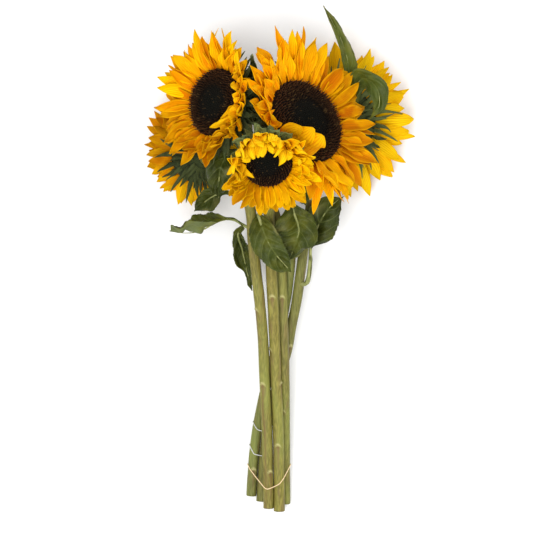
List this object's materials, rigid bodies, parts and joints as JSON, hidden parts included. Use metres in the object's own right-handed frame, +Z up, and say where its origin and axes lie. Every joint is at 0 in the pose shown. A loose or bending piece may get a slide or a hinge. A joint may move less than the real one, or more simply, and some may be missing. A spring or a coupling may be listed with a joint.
{
  "type": "bunch of cut sunflowers",
  "caption": "Bunch of cut sunflowers lying on its back, heads at one end facing different ways, long bare stems held by rubber bands.",
  "frame": {"origin": "middle of the bunch's outline, on the surface that it lies on", "axes": "+Y along the stems from the cut ends to the heads, +X across to the right, +Z up from the surface"},
  "size_m": [0.2673, 0.5073, 0.2302],
  "materials": {
    "petal": "golden yellow ray petals, satin, orange at the base, fine lengthwise veins",
    "seed_disk": "matte near-black florets, red-brown towards the rim and green-black in the middle",
    "calyx": "matte dark green bracts with fine hairs",
    "stem": "satin olive-green stem, ribbed lengthwise, with brown streaks and leaf scars",
    "leaf": "satin dark green leaf with pale veins, greyer below",
    "band_cream": "matte natural rubber band",
    "band_white": "matte whitish thin rubber band"
  },
  "bodies": {
    "root": {"seed_disk_a": "seed_disk", "petals_a": "petal", "calyx_a": "calyx", "stem_a": "stem", "seed_disk_b": "seed_disk", "petals_b": "petal", "calyx_b": "calyx", "stem_b": "stem", "seed_disk_c": "seed_disk", "petals_c": "petal", "calyx_c": "calyx", "stem_c": "stem", "seed_disk_d": "seed_disk", "petals_d": "petal", "calyx_d": "calyx", "stem_d": "stem", "seed_disk_e": "seed_disk", "petals_e": "petal", "calyx_e": "calyx", "stem_e": "stem", "leaf_top_long": "leaf", "leaf_right_folded": "leaf", "leaf_between_heads": "leaf", "leaf_under_left_head": "leaf", "leaf_left_lower": "leaf", "leaf_left_drooping": "leaf", "leaf_left_hanging": "leaf", "leaf_centre": "leaf", "leaf_right_broad": "leaf", "leaf_right_stalked": "leaf", "leaf_under_front_head": "leaf", "band_lower": "band_cream", "band_middle": "band_white", "band_upper": "band_white"}
  },
  "joints": []
}
